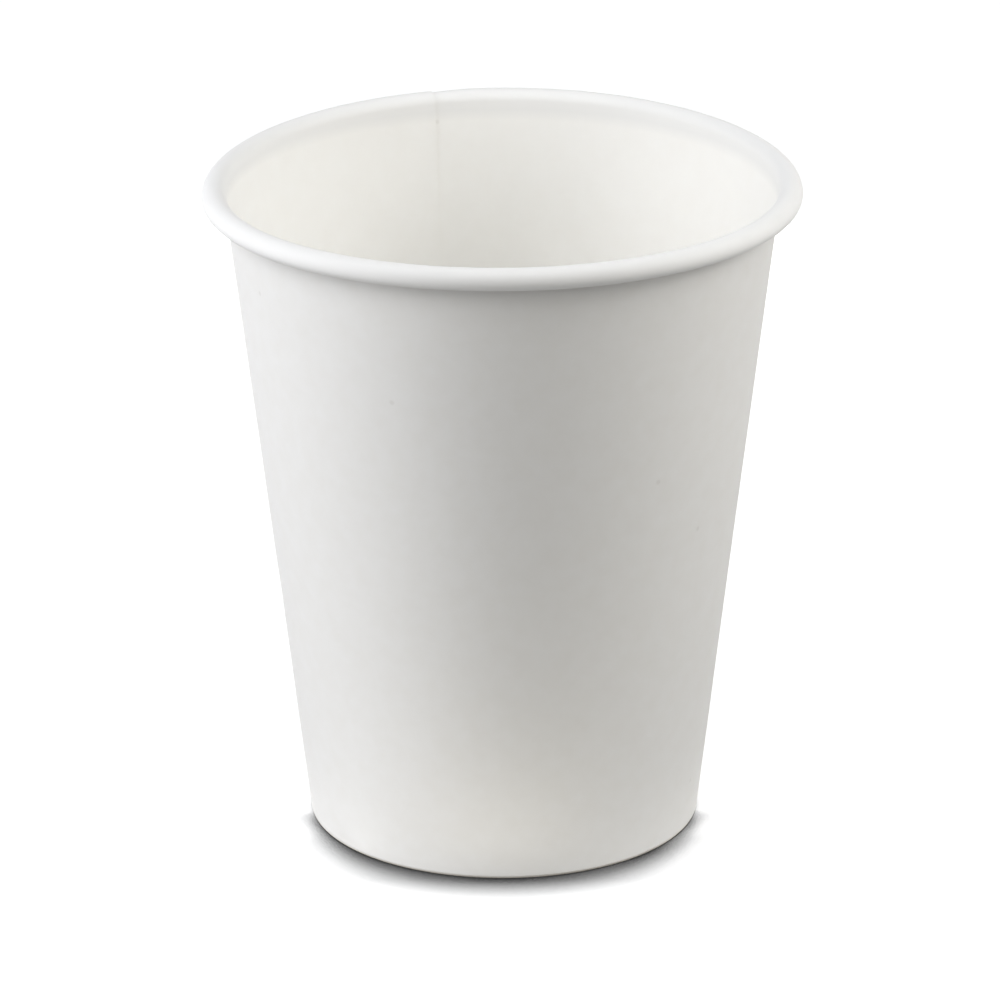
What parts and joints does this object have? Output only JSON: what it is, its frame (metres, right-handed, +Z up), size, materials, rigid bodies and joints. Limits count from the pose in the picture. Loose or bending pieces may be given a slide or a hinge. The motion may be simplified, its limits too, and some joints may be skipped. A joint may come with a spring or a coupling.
{
  "type": "paper cup",
  "caption": "Open single-wall paper cup for hot drinks: a tapered wall with a side seam, a rolled rim that takes a lid, and a recessed bottom held in a folded foot.",
  "frame": {"origin": "on the cup's axis in the plane of the table that it stands on", "axes": "+Z up along the cup's axis, +X to the right and +Y to the back as the picture shows it; the side seam is at the back, left of +Y"},
  "size_m": [0.08, 0.08, 0.0905],
  "materials": {
    "wall_board": "matte white cup board, uncoated outside and thinly plastic-coated inside",
    "base_board": "white cup board with a thin plastic coating on its upper side"
  },
  "bodies": {
    "root": {"sidewall": "wall_board", "base_disc": "base_board"}
  },
  "joints": []
}
